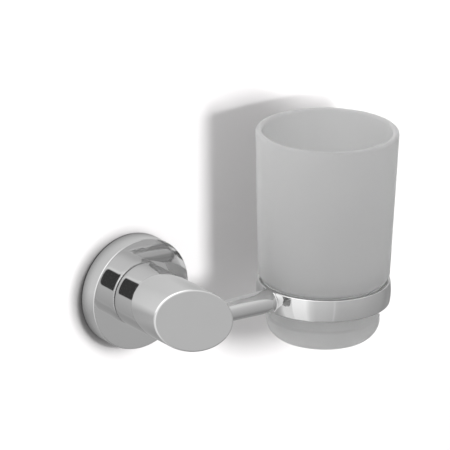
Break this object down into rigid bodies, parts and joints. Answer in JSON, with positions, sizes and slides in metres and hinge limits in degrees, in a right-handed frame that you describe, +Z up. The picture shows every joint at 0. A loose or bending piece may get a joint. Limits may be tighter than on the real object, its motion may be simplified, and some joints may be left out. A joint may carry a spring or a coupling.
{
  "type": "tumbler holder",
  "caption": "Wall-mounted chrome tumbler holder: round rosette, slant-cut post, side arm and band ring with a lift-out frosted glass tumbler.",
  "frame": {"origin": "centre of the wall plate's back face, on the wall surface and on the rosette's axis", "axes": "+Z up, +Y into the wall, so the holder stands out towards -Y; +X to the right along the wall, from the post towards the tumbler"},
  "size_m": [0.1334, 0.1201, 0.1036],
  "materials": {
    "chrome": "polished",
    "cast_zinc": "satin",
    "plated_steel": "satin",
    "nylon": "matte",
    "liner_plastic": "satin",
    "frosted_glass": "matte"
  },
  "bodies": {
    "holder": {"wall_plate": "cast_zinc", "wall_screw_left": "plated_steel", "wall_screw_right": "plated_steel", "wall_plug_left": "nylon", "wall_plug_right": "nylon", "rosette": "chrome", "rosette_grub_screw": "plated_steel", "post_bolt": "plated_steel", "lock_washer": "plated_steel", "locating_pin_upper": "plated_steel", "locating_pin_lower": "plated_steel", "post": "chrome", "arm": "chrome", "arm_grub_screw": "plated_steel", "ring": "chrome"},
    "liner": {"ring_liner": "liner_plastic"},
    "glass": {"tumbler": "frosted_glass"}
  },
  "joints": [
    {"name": "tumbler_turn", "type": "hinge", "parent": "holder", "child": "liner", "pos_m": [0.0742, -0.0497, 0], "axis": [0, 0, 1], "continuous": true},
    {"name": "tumbler_lift", "type": "slide", "parent": "liner", "child": "glass", "axis": [0, 0, 1], "range_m": [0, 0.05]}
  ]
}
